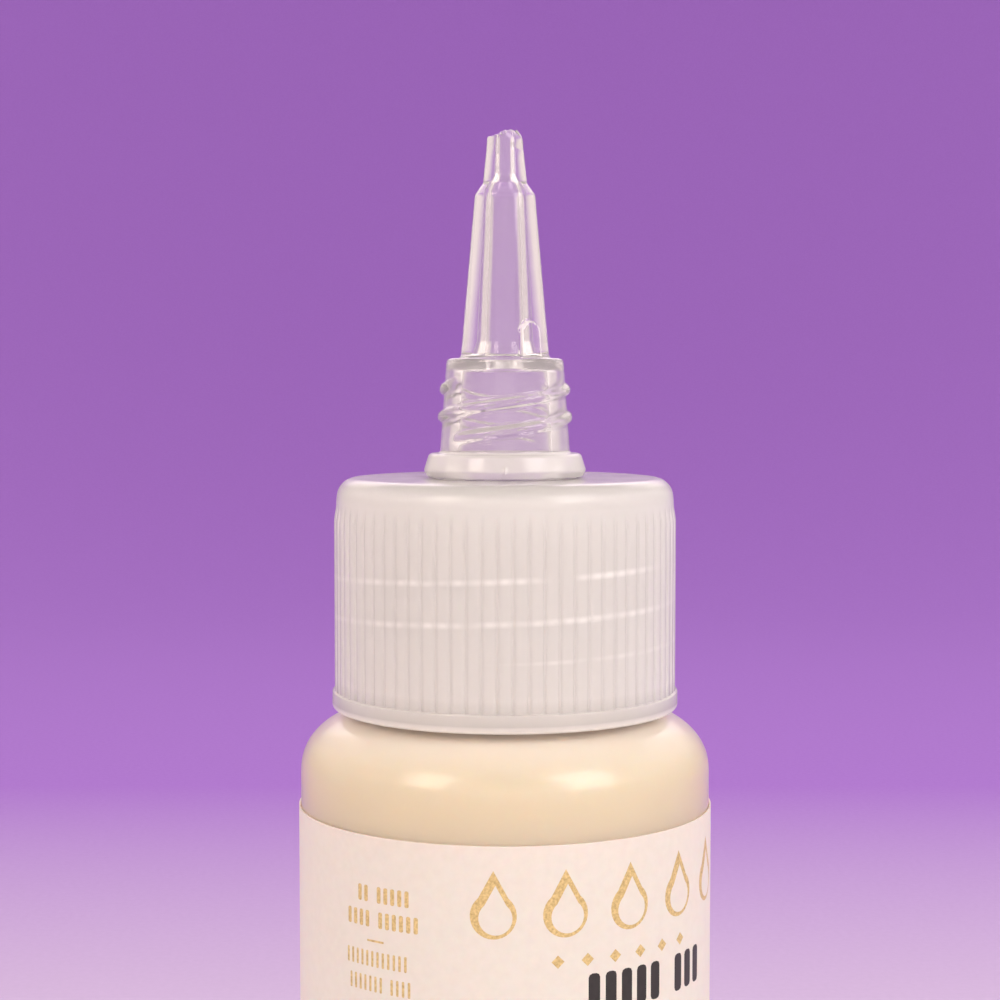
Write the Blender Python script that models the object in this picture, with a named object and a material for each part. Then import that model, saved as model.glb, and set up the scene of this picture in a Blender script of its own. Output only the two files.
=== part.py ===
"""Squeeze bottle of craft glue: a blow-moulded bottle with a 24 mm threaded neck, a ribbed screw
closure and a snap-in dispensing nozzle whose sealed tip has been snipped open.

Frame: metres, +Z up, origin at the centre of the ring that the bottle stands on, front towards -Y.
Sizes below are in millimetres and become metres through MM. Outlines are lists of
(radius, height), and angles round the bottle are in degrees from the front towards +X.
"""

import math

import bmesh
import bpy
from mathutils import Matrix, Vector

MM = 0.001
WELD = 1e-7

# Gaps between pieces that touch on the real object
SNAP_GAP = 0.15
REST_GAP = 0.10
ADHESIVE_GAP = 0.05

# Facets
BOTTLE_SIDES = 48
CLOSURE_SIDES = 72
NOZZLE_SIDES = 32
THREAD_STEPS_PER_TURN = 36
SHARP_ANGLE = 35.0

# Bottle
BODY_RADIUS = 16.48
BODY_HEIGHT = 68.0
BODY_WALL = 0.8
SHOULDER_DROP = 5.1
SHOULDER_CREST_RADIUS = 9.0
SHOULDER_SQUARENESS = 2.25
BASE_CORNER = 2.48
BASE_THICKNESS = 1.0
PUSH_UP_HEIGHT = 1.2
PUSH_UP_EDGE_HEIGHT = 0.85
PUSH_UP_RADIUS = 10.5
STAND_RING_RADIUS = 12.3
NECK_RADIUS = 10.85
NECK_BORE_RADIUS = 9.2
NECK_HEIGHT = 15.5
NECK_CHAMFER = 0.4

# Contents and label
GLUE_LEVEL = BODY_HEIGHT - 1.0
LABEL_BOTTOM = 7.0
LABEL_TOP = BODY_HEIGHT - 7.7
LABEL_THICKNESS = 0.12
LABEL_WINDOW_ANGLE = 213.75

# Right-hand neck thread, 8 turns to the inch, and the closure thread that hangs under it.
# A thread's widths are those of its root and its crest, and its span is from end to end.
NECK_LEAD = 3.175
NECK_THREAD_RADIUS = 11.9
NECK_THREAD_WIDTHS = (1.7, 0.7)
NECK_THREAD_SPAN = (-510.0, 120.0)
NECK_THREAD_HEIGHT_AT_FRONT = BODY_HEIGHT + 11.7
CLOSURE_THREAD_RADIUS = 11.25
CLOSURE_THREAD_WIDTHS = (1.3, 0.6)
CLOSURE_THREAD_SPAN = (-600.0, 0.0)
CLOSURE_THREAD_DROP = 1.11
THREAD_RUN_OUT = 28.0
THREAD_ROOT_DEPTH = 0.35
THREAD_END_DEPTH = 0.12

# Closure
CLOSURE_BOTTOM = BODY_HEIGHT
CLOSURE_HEIGHT = 18.5
CLOSURE_RADIUS = 13.38
CLOSURE_BORE_RADIUS = 12.25
CLOSURE_MOUTH_RADIUS = 12.6
CLOSURE_MOUTH_HEIGHT = 0.7
CLOSURE_ROOF = 1.1
CLOSURE_TOP_CORNER = 1.45
CLOSURE_INNER_CORNER = 0.6
BEAD_RADIUS = 13.95
BEAD_HEIGHT = 1.45
BEAD_CORNER = 0.35
BEAD_BREAK = 0.12
SPOUT_HOLE_RADIUS = 5.9
RIB_COUNT = CLOSURE_SIDES
RIB_RADIUS = 13.8
RIB_WIDTH = 0.8
RIB_TOP = 16.3
RIB_RUN_OUT = 1.5
RIB_BURIED = 0.25

# Nozzle, from the plug in the neck up to the snipped tip
FLANGE_RADIUS = 11.0
FLANGE_THICKNESS = 1.0
PLUG_RADIUS = 8.95
PLUG_WALL = 0.9
PLUG_DEPTH = 3.4
PLUG_LEAD_IN = 0.6
COLLAR_RADIUS = 6.5
COLLAR_TOP_RADIUS = 6.0
COLLAR_HEIGHT = 1.85
COLLAR_WAIST = 0.6
COLLAR_CORNER = 0.3

# Nozzle heights below are above CLOSURE_BOTTOM, from the spigot's foot up
SPIGOT_RADII = (5.2, 4.66)
SPIGOT_TOP = 28.05
SPIGOT_CORNER = 0.35
SPIGOT_BORE_RADII = (3.95, 3.5)
SPIGOT_BORE_TOP = 27.05
CONE_RADII = (3.45, 2.42)
CONE_SPAN = (29.2, 40.9)
CONE_BORE_RADII = (1.5, 1.15)
CONE_BORE_SPAN = (28.5, 40.3)
TIP_RADII = (1.70, 1.42)
TIP_SPAN = (42.4, 46.2)
TIP_CORNER = 0.4
TIP_BORE_RADII = (0.62, 0.5)
TIP_BORE_BOTTOM = 42.0
SNIP_SLOPE = 20.0
SNIP_LOW_POINT = (-1.45, 45.65)
SNIP_BLOCK = 8.0

# Two-start thread on the spigot for a screw-on tip cover
SPIGOT_STARTS = 2
SPIGOT_LEAD = 4.4
SPIGOT_THREAD_DEPTH = 0.4
SPIGOT_THREAD_WIDTHS = (1.15, 0.45)
SPIGOT_THREAD_SPAN = (-60.0, 315.0)
SPIGOT_THREAD_HEIGHT_AT_FRONT = 22.3

# Arch-shaped lug on the foot of the cone
LUG_ANGLE = 34.0
LUG_WIDTH = 1.85
LUG_HEIGHT = 2.95
LUG_DEPTH = 0.35
LUG_BURIED = 0.6

# Soft washer between the nozzle's flange and the neck
WASHER_THICKNESS = 0.6
WASHER_RADIUS = 10.8

SHOULDER_START = BODY_HEIGHT - SHOULDER_DROP
NECK_TOP = BODY_HEIGHT + NECK_HEIGHT
CLOSURE_TOP = CLOSURE_BOTTOM + CLOSURE_HEIGHT
CEILING = CLOSURE_TOP - CLOSURE_ROOF
FLANGE_TOP = CEILING - REST_GAP
FLANGE_BOTTOM = FLANGE_TOP - FLANGE_THICKNESS
PLUG_BORE_RADIUS = PLUG_RADIUS - PLUG_WALL
COLLAR_BOTTOM = CLOSURE_TOP + REST_GAP
COLLAR_TOP = COLLAR_BOTTOM + COLLAR_HEIGHT


def plastic(name, colour, roughness, alpha=1.0):
    """A moulded plastic, see-through where alpha is below 1."""
    material = bpy.data.materials.new(name)
    material.use_nodes = True
    shader = material.node_tree.nodes["Principled BSDF"]
    shader.inputs["Base Color"].default_value = (*colour, 1.0)
    shader.inputs["Roughness"].default_value = roughness
    shader.inputs["Metallic"].default_value = 0.0
    shader.inputs["Alpha"].default_value = alpha
    material.diffuse_color = (*colour, alpha)
    return material


def between(pair, share):
    return pair[0] + (pair[1] - pair[0]) * share


def ramp(value, low, high):
    """The place of value between low and high, from 0 to 1."""
    return min(1.0, max(0.0, (value - low) / (high - low)))


def polar(radius, angle, height):
    """The point at a radius, an angle from the front and a height, in metres."""
    turn = math.radians(angle)
    return Vector((radius * math.sin(turn), -radius * math.cos(turn), height)) * MM


def arc(centre, radius, start, end, steps):
    """Outline points on an arc, whose angles count up from the outward direction."""
    angles = [math.radians(between((start, end), i / steps)) for i in range(steps + 1)]
    return [(centre[0] + radius * math.cos(a), centre[1] + radius * math.sin(a)) for a in angles]


def shoulder(depth, end_radius, steps):
    """The round shoulder at a depth below the bottle's surface, from its side in to end_radius."""
    power = 2.0 / SHOULDER_SQUARENESS
    reach = BODY_RADIUS - depth - SHOULDER_CREST_RADIUS
    rise = SHOULDER_DROP - depth
    last_angle = math.acos(((end_radius - SHOULDER_CREST_RADIUS) / reach) ** (1.0 / power))
    curve = []
    for i in range(steps + 1):
        angle = last_angle * i / steps
        radius = SHOULDER_CREST_RADIUS + reach * math.cos(angle) ** power
        curve.append((radius, SHOULDER_START + rise * math.sin(angle) ** power))
    return curve


def object_from(name, mesh, material=None):
    """Turns a bmesh into a named object with its faces outward and its round ones smooth."""
    bmesh.ops.remove_doubles(mesh, verts=mesh.verts, dist=WELD)
    bmesh.ops.recalc_face_normals(mesh, faces=mesh.faces)
    data = bpy.data.meshes.new(name)
    mesh.to_mesh(data)
    mesh.free()
    data.shade_smooth()
    data.set_sharp_from_angle(angle=math.radians(SHARP_ANGLE))
    if material:
        data.materials.append(material)
    made = bpy.data.objects.new(name, data)
    bpy.context.scene.collection.objects.link(made)
    return made


def helper(made):
    """Marks an object as a shape that is only cut away from a piece or joined to it."""
    made.hide_render = True
    made.display_type = "WIRE"
    return made


def turned(name, outline, sides, material, closed=True):
    """A solid of revolution. An outline that is not closed starts and ends on the axis."""
    mesh = bmesh.new()
    points = [mesh.verts.new((radius * MM, 0, height * MM)) for radius, height in outline]
    pairs = list(zip(points, points[1:]))
    if closed:
        pairs.append((points[-1], points[0]))
    edges = [mesh.edges.new(pair) for pair in pairs]
    bmesh.ops.spin(
        mesh,
        geom=points + edges,
        cent=(0, 0, 0),
        axis=(0, 0, 1),
        angle=math.tau,
        steps=sides,
    )
    return object_from(name, mesh, material)


def add_skin(mesh, sections):
    """Adds a closed solid that runs through a row of equal cross-sections."""
    rings = [[mesh.verts.new(point) for point in section] for section in sections]
    for ring, following in zip(rings, rings[1:]):
        for i in range(len(ring)):
            j = (i + 1) % len(ring)
            mesh.faces.new((ring[i], ring[j], following[j], following[i]))
    mesh.faces.new(rings[0])
    mesh.faces.new(rings[-1])


def thread(name, root, crest, widths, span, height_at_front, lead):
    """A helical ridge that runs out into the wall at both ends. root and crest are functions
    that give its radii at a height."""
    steps = round(THREAD_STEPS_PER_TURN * (span[1] - span[0]) / 360.0)
    sections = []
    for i in range(steps + 1):
        angle = between(span, i / steps)
        height = height_at_front + lead * angle / 360.0
        depth = crest(height) - root(height)
        rise = ramp(min(angle - span[0], span[1] - angle), 0.0, THREAD_RUN_OUT)
        tip = root(height) + depth * between((-THREAD_END_DEPTH, 1.0), rise)
        base = root(height) - math.copysign(THREAD_ROOT_DEPTH, depth)
        flank = (widths[0] - widths[1]) / 2 * THREAD_ROOT_DEPTH / abs(depth)
        half_base = widths[0] / 2 + flank
        half_tip = between(widths, rise) / 2
        corners = [(base, -half_base), (tip, -half_tip), (tip, half_tip), (base, half_base)]
        sections.append([polar(radius, angle, height + offset) for radius, offset in corners])
    mesh = bmesh.new()
    add_skin(mesh, sections)
    return helper(object_from(name, mesh))


def straight(radius):
    """The radius of an untapered wall, as a function of the height."""
    return lambda height: radius


def combine(target, other, operation):
    """Joins another shape to the target (UNION) or cuts it away (DIFFERENCE)."""
    modifier = target.modifiers.new(other.name, "BOOLEAN")
    modifier.operation = operation
    modifier.object = other
    modifier.solver = "EXACT"


def bottle():
    """The blow-moulded body: push-up base, straight wall, round shoulder and threaded neck."""
    inside = BODY_RADIUS - BODY_WALL
    inner_corner = BASE_CORNER - BODY_WALL
    outline = [(0, PUSH_UP_HEIGHT), (PUSH_UP_RADIUS, PUSH_UP_EDGE_HEIGHT), (STAND_RING_RADIUS, 0)]
    outline += arc((BODY_RADIUS - BASE_CORNER, BASE_CORNER), BASE_CORNER, -90, 0, 4)
    outline += shoulder(0, NECK_RADIUS, 10)
    outline += [
        (NECK_RADIUS, NECK_TOP - NECK_CHAMFER),
        (NECK_RADIUS - NECK_CHAMFER, NECK_TOP),
        (NECK_BORE_RADIUS, NECK_TOP),
    ]
    outline += shoulder(BODY_WALL, NECK_BORE_RADIUS, 7)[::-1]
    outline += arc((inside - inner_corner, BASE_THICKNESS + inner_corner), inner_corner, 0, -90, 3)
    outline += [
        (STAND_RING_RADIUS, BASE_THICKNESS),
        (PUSH_UP_RADIUS, BASE_THICKNESS + PUSH_UP_EDGE_HEIGHT),
        (0, BASE_THICKNESS + PUSH_UP_HEIGHT),
    ]
    material = plastic("clear_bottle_plastic", (0.93, 0.84, 0.70), 0.35, 0.6)
    made = turned("bottle", outline, BOTTLE_SIDES, material, closed=False)
    ridge = thread(
        "neck_thread",
        straight(NECK_RADIUS),
        straight(NECK_THREAD_RADIUS),
        NECK_THREAD_WIDTHS,
        NECK_THREAD_SPAN,
        NECK_THREAD_HEIGHT_AT_FRONT,
        NECK_LEAD,
    )
    combine(made, ridge, "UNION")
    return made


def glue():
    """The glue that fills the bottle to just under its neck."""
    depth = BODY_WALL + REST_GAP
    side = BODY_RADIUS - depth
    corner = BASE_CORNER - BODY_WALL
    floor = BASE_THICKNESS + REST_GAP
    rise = (GLUE_LEVEL - SHOULDER_START) / (SHOULDER_DROP - depth)
    spread = (1 - rise**SHOULDER_SQUARENESS) ** (1 / SHOULDER_SQUARENESS)
    surface_radius = SHOULDER_CREST_RADIUS + (side - SHOULDER_CREST_RADIUS) * spread
    outline = [
        (0, floor + PUSH_UP_HEIGHT),
        (PUSH_UP_RADIUS, floor + PUSH_UP_EDGE_HEIGHT),
        (STAND_RING_RADIUS, floor),
    ]
    outline += arc((side - corner, floor + corner), corner, -90, 0, 3)
    outline += shoulder(depth, surface_radius, 6)
    outline += [(0, GLUE_LEVEL)]
    material = plastic("cream_glue", (0.90, 0.68, 0.40), 0.3)
    return turned("glue", outline, BOTTLE_SIDES, material, closed=False)


def label():
    """The label film, wrapped round the body with a narrow window left between its two ends."""
    inner = BODY_RADIUS + ADHESIVE_GAP
    outer = inner + LABEL_THICKNESS
    facet = 360.0 / BOTTLE_SIDES
    corners = [
        (inner, LABEL_BOTTOM),
        (outer, LABEL_BOTTOM),
        (outer, LABEL_TOP),
        (inner, LABEL_TOP),
    ]
    sections = []
    for i in range(BOTTLE_SIDES):
        angle = LABEL_WINDOW_ANGLE + facet * (i + 0.5)
        sections.append([polar(radius, angle, height) for radius, height in corners])
    mesh = bmesh.new()
    add_skin(mesh, sections)
    return object_from("label", mesh, plastic("label_film", (0.93, 0.86, 0.80), 0.5))


def closure_cup():
    """The closure before its ribs: a rounded top with the spout hole, a skirt and a smooth bead."""
    bead_top = CLOSURE_BOTTOM + BEAD_HEIGHT
    bead_centre = (BEAD_RADIUS - BEAD_CORNER, CLOSURE_BOTTOM + BEAD_CORNER)
    top_centre = (CLOSURE_RADIUS - CLOSURE_TOP_CORNER, CLOSURE_TOP - CLOSURE_TOP_CORNER)
    inner_centre = (CLOSURE_BORE_RADIUS - CLOSURE_INNER_CORNER, CEILING - CLOSURE_INNER_CORNER)
    outline = [(CLOSURE_MOUTH_RADIUS, CLOSURE_BOTTOM)]
    outline += arc(bead_centre, BEAD_CORNER, -90, 0, 3)
    outline += [
        (BEAD_RADIUS, bead_top - BEAD_BREAK),
        (BEAD_RADIUS - BEAD_BREAK, bead_top),
        (CLOSURE_RADIUS, bead_top),
    ]
    outline += arc(top_centre, CLOSURE_TOP_CORNER, 0, 90, 5)
    outline += [(SPOUT_HOLE_RADIUS, CLOSURE_TOP), (SPOUT_HOLE_RADIUS, CEILING)]
    outline += arc(inner_centre, CLOSURE_INNER_CORNER, 90, 0, 2)
    outline += [(CLOSURE_BORE_RADIUS, CLOSURE_BOTTOM + CLOSURE_MOUTH_HEIGHT)]
    material = plastic("milky_closure_plastic", (0.90, 0.88, 0.87), 0.4, 0.8)
    return turned("closure", outline, CLOSURE_SIDES, material)


def closure_ribs():
    """The grip ribs, one on each facet of the skirt, which run out below the rounded top."""
    foot = CLOSURE_RADIUS - RIB_BURIED
    half_angle = math.degrees(RIB_WIDTH / 2 / CLOSURE_RADIUS)
    crests = [
        (RIB_RADIUS, CLOSURE_BOTTOM + BEAD_HEIGHT - RIB_BURIED),
        (RIB_RADIUS, CLOSURE_BOTTOM + RIB_TOP - RIB_RUN_OUT),
        (CLOSURE_RADIUS - RIB_BURIED / 2, CLOSURE_BOTTOM + RIB_TOP),
    ]
    mesh = bmesh.new()
    for rib in range(RIB_COUNT):
        middle = 360.0 * (rib + 0.5) / RIB_COUNT
        sections = []
        for crest, height in crests:
            corners = [(foot, -half_angle), (crest, 0.0), (foot, half_angle)]
            sections.append([polar(radius, middle + angle, height) for radius, angle in corners])
        add_skin(mesh, sections)
    return helper(object_from("closure_ribs", mesh))


def closure():
    """The ribbed screw closure, with an inside thread that hangs under the neck's own."""
    made = closure_cup()
    ridge = thread(
        "closure_thread",
        straight(CLOSURE_BORE_RADIUS),
        straight(CLOSURE_THREAD_RADIUS),
        CLOSURE_THREAD_WIDTHS,
        CLOSURE_THREAD_SPAN,
        NECK_THREAD_HEIGHT_AT_FRONT - CLOSURE_THREAD_DROP,
        NECK_LEAD,
    )
    combine(made, closure_ribs(), "UNION")
    combine(made, ridge, "UNION")
    return made


def spigot_radius(height):
    """The radius of the tapered spigot under its thread."""
    return between(SPIGOT_RADII, ramp(height, COLLAR_TOP, CLOSURE_BOTTOM + SPIGOT_TOP))


def spigot_crest(height):
    return spigot_radius(height) + SPIGOT_THREAD_DEPTH


def clamped_foot():
    """Outline of the plug, the flange under the closure's roof and the groove in its hole."""
    plug_bottom = FLANGE_BOTTOM - PLUG_DEPTH
    groove = SPOUT_HOLE_RADIUS - SNAP_GAP
    return [
        (PLUG_BORE_RADIUS, plug_bottom),
        (PLUG_RADIUS - PLUG_LEAD_IN / 2, plug_bottom),
        (PLUG_RADIUS, plug_bottom + PLUG_LEAD_IN),
        (PLUG_RADIUS, FLANGE_BOTTOM),
        (FLANGE_RADIUS, FLANGE_BOTTOM),
        (FLANGE_RADIUS, FLANGE_TOP),
        (groove, FLANGE_TOP),
        (groove, COLLAR_BOTTOM),
    ]


def collar():
    """Outline of the snap collar: undercut at the bottom and drawn in towards its top."""
    return [
        (COLLAR_RADIUS - COLLAR_CORNER, COLLAR_BOTTOM),
        (COLLAR_RADIUS, COLLAR_BOTTOM + COLLAR_WAIST),
        (COLLAR_TOP_RADIUS + COLLAR_CORNER / 2, COLLAR_TOP - COLLAR_CORNER),
        (COLLAR_TOP_RADIUS - COLLAR_CORNER / 2, COLLAR_TOP),
        (SPIGOT_RADII[0], COLLAR_TOP),
    ]


def spigot_and_cone():
    """Outline from the top of the spigot to the end of the tip, before the snip."""
    up = CLOSURE_BOTTOM
    slope = (CONE_RADII[0] - CONE_RADII[1]) / (CONE_SPAN[1] - CONE_SPAN[0])
    foot_radius = CONE_RADII[0] + slope * (CONE_SPAN[0] - SPIGOT_TOP)
    spigot_corner = (SPIGOT_RADII[1] - SPIGOT_CORNER, up + SPIGOT_TOP - SPIGOT_CORNER)
    tip_corner = (TIP_RADII[1] - TIP_CORNER, up + TIP_SPAN[1] - TIP_CORNER)
    outline = arc(spigot_corner, SPIGOT_CORNER, 0, 90, 2)
    outline += [
        (foot_radius, up + SPIGOT_TOP),
        (CONE_RADII[1], up + CONE_SPAN[1]),
        (TIP_RADII[0], up + TIP_SPAN[0]),
    ]
    return outline + arc(tip_corner, TIP_CORNER, 0, 90, 2)


def nozzle_bore():
    """Outline of the passage, from the tip down to the mouth of the plug."""
    up = CLOSURE_BOTTOM
    return [
        (TIP_BORE_RADII[1], up + TIP_SPAN[1]),
        (TIP_BORE_RADII[0], up + TIP_BORE_BOTTOM),
        (CONE_BORE_RADII[1], up + CONE_BORE_SPAN[1]),
        (CONE_BORE_RADII[0], up + CONE_BORE_SPAN[0]),
        (SPIGOT_BORE_RADII[1], up + SPIGOT_BORE_TOP),
        (SPIGOT_BORE_RADII[0], FLANGE_TOP),
        (PLUG_BORE_RADIUS, FLANGE_BOTTOM),
    ]


def nozzle_lug():
    """The arch-shaped lug, sloped with the cone and standing a little proud of it."""
    half = LUG_WIDTH / 2
    slope = math.atan2(CONE_RADII[0] - CONE_RADII[1], CONE_SPAN[1] - CONE_SPAN[0])
    foot = -LUG_BURIED / 2
    arch = [(half, foot)] + arc((0.0, LUG_HEIGHT - half), half, 0, 180, 6) + [(-half, foot)]
    front = [Vector((x, 0, z)) * MM for x, z in arch]
    inward = Vector((0, LUG_DEPTH + LUG_BURIED, 0)) * MM
    mesh = bmesh.new()
    add_skin(mesh, [front, [point + inward for point in front]])
    made = object_from("nozzle_lug", mesh)
    made.location = polar(CONE_RADII[0] + LUG_DEPTH, LUG_ANGLE, CLOSURE_BOTTOM + SPIGOT_TOP)
    turn = Matrix.Rotation(math.radians(LUG_ANGLE), 3, "Z") @ Matrix.Rotation(-slope, 3, "X")
    made.rotation_euler = turn.to_euler()
    return helper(made)


def snip_block():
    """A block whose sloping underside is the cut that opened the tip."""
    mesh = bmesh.new()
    bmesh.ops.create_cube(mesh, size=SNIP_BLOCK * MM)
    bmesh.ops.translate(mesh, verts=mesh.verts, vec=(0, 0, SNIP_BLOCK / 2 * MM))
    made = object_from("snip_block", mesh)
    made.location = Vector((SNIP_LOW_POINT[0], 0, CLOSURE_BOTTOM + SNIP_LOW_POINT[1])) * MM
    made.rotation_euler = (0, -math.radians(SNIP_SLOPE), 0)
    return helper(made)


def nozzle():
    """The nozzle: turned in one piece, then threaded, lugged and snipped open."""
    outline = clamped_foot() + collar() + spigot_and_cone() + nozzle_bore()
    material = plastic("clear_nozzle_plastic", (0.88, 0.86, 0.88), 0.2, 0.5)
    made = turned("nozzle", outline, NOZZLE_SIDES, material)
    for start in range(SPIGOT_STARTS):
        turn = 360.0 * start / SPIGOT_STARTS
        ridge = thread(
            f"spigot_thread_{start + 1}",
            spigot_radius,
            spigot_crest,
            SPIGOT_THREAD_WIDTHS,
            (SPIGOT_THREAD_SPAN[0] + turn, SPIGOT_THREAD_SPAN[1] + turn),
            CLOSURE_BOTTOM + SPIGOT_THREAD_HEIGHT_AT_FRONT - SPIGOT_LEAD * turn / 360.0,
            SPIGOT_LEAD,
        )
        combine(made, ridge, "UNION")
    combine(made, nozzle_lug(), "UNION")
    combine(made, snip_block(), "DIFFERENCE")
    return made


def sealing_washer():
    """The soft washer round the plug, squeezed between the nozzle's flange and the neck."""
    inner = PLUG_RADIUS + REST_GAP
    top = FLANGE_BOTTOM - REST_GAP
    bottom = top - WASHER_THICKNESS
    outline = [(inner, bottom), (WASHER_RADIUS, bottom), (WASHER_RADIUS, top), (inner, top)]
    material = plastic("washer_foam", (0.92, 0.92, 0.90), 0.8)
    return turned("sealing_washer", outline, NOZZLE_SIDES, material)


def moving_together(name, pieces, parent=None):
    """An empty on the bottle's axis, which carries the pieces that move as one body."""
    carrier = bpy.data.objects.new(name, None)
    bpy.context.scene.collection.objects.link(carrier)
    carrier.parent = parent
    for piece in pieces:
        piece.parent = carrier
    return carrier


def main():
    for leftover in list(bpy.data.objects):
        bpy.data.objects.remove(leftover)
    standing = moving_together("standing_parts", [bottle(), glue(), label()])
    lifting = moving_together("lifting_parts", [nozzle(), sealing_washer()], standing)
    moving_together("turning_parts", [closure()], lifting)


main()
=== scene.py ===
"""Looks of the glue applicator bottle: fine meshes, moulded-plastic materials, studio and camera.

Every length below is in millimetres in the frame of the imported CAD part, and becomes metres where
an object is made. Outlines are (radius, height) points and angles run from the front (-Y)
towards +X.
"""

import math

import bpy
import numpy as np
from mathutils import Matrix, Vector
from mathutils.geometry import delaunay_2d_cdt


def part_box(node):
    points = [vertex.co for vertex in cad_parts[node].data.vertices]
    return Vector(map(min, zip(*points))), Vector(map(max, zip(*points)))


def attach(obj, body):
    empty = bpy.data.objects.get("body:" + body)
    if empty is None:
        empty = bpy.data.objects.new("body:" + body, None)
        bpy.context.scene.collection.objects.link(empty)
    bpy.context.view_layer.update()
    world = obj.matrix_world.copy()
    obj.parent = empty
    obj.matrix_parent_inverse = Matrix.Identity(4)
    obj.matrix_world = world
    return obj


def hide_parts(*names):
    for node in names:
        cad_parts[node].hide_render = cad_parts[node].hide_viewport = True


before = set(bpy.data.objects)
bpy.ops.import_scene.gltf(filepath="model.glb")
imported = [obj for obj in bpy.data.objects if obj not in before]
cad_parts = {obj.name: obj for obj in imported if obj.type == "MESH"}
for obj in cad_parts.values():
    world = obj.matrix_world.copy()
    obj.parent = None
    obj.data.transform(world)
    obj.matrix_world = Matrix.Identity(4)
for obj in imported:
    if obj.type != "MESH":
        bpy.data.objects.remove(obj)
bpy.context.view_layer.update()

MM = 0.001


def span_of(node):
    """Lowest height, highest height and outer radius of a CAD node, in millimetres."""
    low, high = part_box(node)
    return low.z / MM, high.z / MM, high.x / MM


BOTTLE_FOOT, NECK_TOP, BODY_RADIUS = span_of("bottle")
CLOSURE_BOTTOM, CLOSURE_TOP, BEAD_RADIUS = span_of("closure")
GLUE_TOP = span_of("glue")[1]
LABEL_BOTTOM, LABEL_TOP, LABEL_RADIUS = span_of("label")
PLUG_BOTTOM, TIP_TOP, FLANGE_RADIUS = span_of("nozzle")
WASHER_BOTTOM, WASHER_TOP, WASHER_RADIUS = span_of("sealing_washer")

# How many columns of faces run round each piece
BOTTLE_COLUMNS = 192
GLUE_COLUMNS = 192
NOZZLE_COLUMNS = 240
WASHER_COLUMNS = 96

# Bottle
BODY_WALL = 0.8
SHOULDER_DROP = 5.1
SHOULDER_CREST_RADIUS = 9.0
SHOULDER_SQUARENESS = 2.25
NECK_RADIUS = 10.85
NECK_BORE_RADIUS = 9.2
BASE_CORNER = 2.48
BASE_THICKNESS = 1.0
PUSH_UP_RADIUS = 10.3
PUSH_UP_EDGE = 0.95
PUSH_UP_HEIGHT = 1.2
STAND_RING_RADIUS = 12.2
GLUE_BITE = 0.03

# The neck's thread and the closure's: angles where they start and end, widths of the root and the
# crest, height of the ridge, and height where the thread passes the front
NECK_LEAD = 3.175
NECK_THREAD_SPAN = (-510.0, 120.0)
NECK_THREAD_WIDTHS = (1.7, 0.7)
NECK_THREAD_RIDGE = 1.05
NECK_THREAD_FRONT = CLOSURE_BOTTOM + 11.7
CLOSURE_THREAD_SPAN = (-600.0, 0.0)
CLOSURE_THREAD_WIDTHS = (1.3, 0.6)
CLOSURE_THREAD_RIDGE = 1.0
CLOSURE_THREAD_FRONT = NECK_THREAD_FRONT - 1.11
THREAD_RUN_OUT = 30.0

# Closure
CLOSURE_RADIUS = 13.58
CLOSURE_BORE = 12.25
CLOSURE_ROOF = 1.1
SPOUT_HOLE_RADIUS = 5.9
BEAD_HEIGHT = 1.45
RIB_COUNT = 72
RIB_DEPTH = 0.15
RIB_TOP = CLOSURE_BOTTOM + 16.5
RIB_RUN_OUT = 1.5
# One rib across its pitch: (share of the pitch, share of the depth)
RIB_SECTION = (
    (-0.44, 0.0),
    (-0.37, 0.7),
    (-0.25, 1.0),
    (0.0, 1.0),
    (0.25, 1.0),
    (0.37, 0.7),
    (0.44, 0.0),
)

# Nozzle, whose spigot has a two-start thread
SPIGOT_FOOT = CLOSURE_TOP + 1.95
SPIGOT_LEAD = 4.4
SPIGOT_STARTS = 2
SPIGOT_THREAD_SPAN = (-60.0, 315.0)
SPIGOT_THREAD_WIDTHS = (1.15, 0.3)
SPIGOT_THREAD_RIDGE = 0.38
SPIGOT_RUN_OUT = 35.0
SPIGOT_THREAD_FRONT = CLOSURE_BOTTOM + 22.3
ANNULUS_TOP = CLOSURE_BOTTOM + 28.05
LUG_ANGLE = 34.0
LUG_HALF_WIDTH = 0.93
LUG_TOP = CLOSURE_BOTTOM + 31.0
LUG_HEIGHT = 0.42
TIP_FOOT = TIP_TOP - 1.7
GATE_HEIGHT = CLOSURE_TOP + 0.75
# The nozzle's three materials
CLEAR, BORE, CLOUDY = range(3)


# ---------------------------------------------------------------------------------------------
# Shapes
# ---------------------------------------------------------------------------------------------


def smooth(value):
    """Smoothstep of value, held between 0 and 1."""
    held = np.clip(value, 0.0, 1.0)
    return held * held * (3.0 - 2.0 * held)


def fillet(before, corner, after, radius, steps):
    """Points of the arc that rounds a corner of an outline."""
    corner = np.array(corner, float)
    back = np.array(before, float) - corner
    on = np.array(after, float) - corner
    back /= np.linalg.norm(back)
    on /= np.linalg.norm(on)
    half = math.acos(np.clip(back @ on, -1.0, 1.0)) / 2
    centre = corner + (back + on) / np.linalg.norm(back + on) * radius / math.sin(half)
    start = corner + back * radius / math.tan(half) - centre
    end = corner + on * radius / math.tan(half) - centre
    turn = math.atan2(start[0] * end[1] - start[1] * end[0], start @ end)
    points = []
    for step in range(steps + 1):
        c, s = math.cos(turn * step / steps), math.sin(turn * step / steps)
        points.append(centre + (start[0] * c - start[1] * s, start[0] * s + start[1] * c))
    return points


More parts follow.
